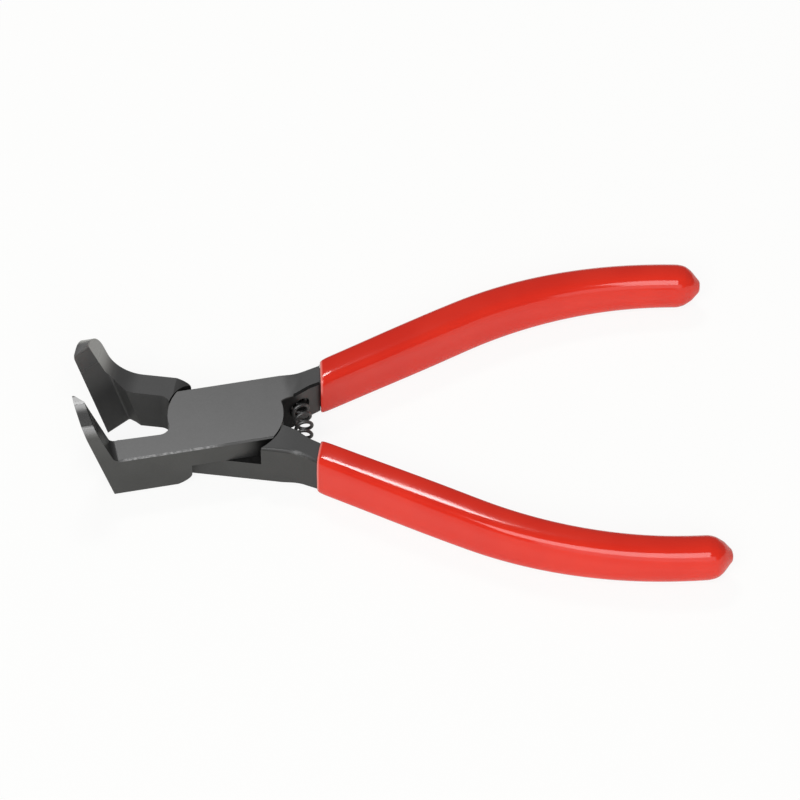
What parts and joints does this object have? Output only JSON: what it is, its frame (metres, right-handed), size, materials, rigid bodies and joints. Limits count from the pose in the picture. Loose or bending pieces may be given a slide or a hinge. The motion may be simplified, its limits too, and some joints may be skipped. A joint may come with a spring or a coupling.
{
  "type": "angled plastic cutter",
  "caption": "Angled-head cutting pliers: upright flush wedge blades on forged halves, riveted lap joint, coil opening spring and red dipped grips, for trimming plastic sprues flush.",
  "frame": {"origin": "rivet axis on the underside of the lap joint", "axes": "+X from the blades to the handles, +Y towards the handle of the half whose plate is on top, +Z along the rivet, the way the blades point"},
  "size_m": [0.152, 0.0984, 0.0261],
  "materials": {
    "forged_steel": "black oxide, satin, worn bright along one edge",
    "grip_vinyl": "dipped vinyl, glossy red",
    "rivet_steel": "black oxide, ground flush with the joint",
    "spring_steel": "dark drawn wire"
  },
  "bodies": {
    "top_lap_arm": {"top_lap_half": "forged_steel", "top_lap_grip": "grip_vinyl", "pivot_rivet": "rivet_steel", "opening_spring": "spring_steel"},
    "bottom_lap_arm": {"bottom_lap_half": "forged_steel", "bottom_lap_grip": "grip_vinyl"}
  },
  "joints": [
    {"name": "jaw_hinge", "type": "hinge", "parent": "top_lap_arm", "child": "bottom_lap_arm", "pos_m": [0, 0, 0], "axis": [0, 0, 1], "range_deg": [0, 20.3], "stiffness_Nm_per_rad": 0.8, "springref_deg": -14.32, "deforming": ["opening_spring"]}
  ]
}
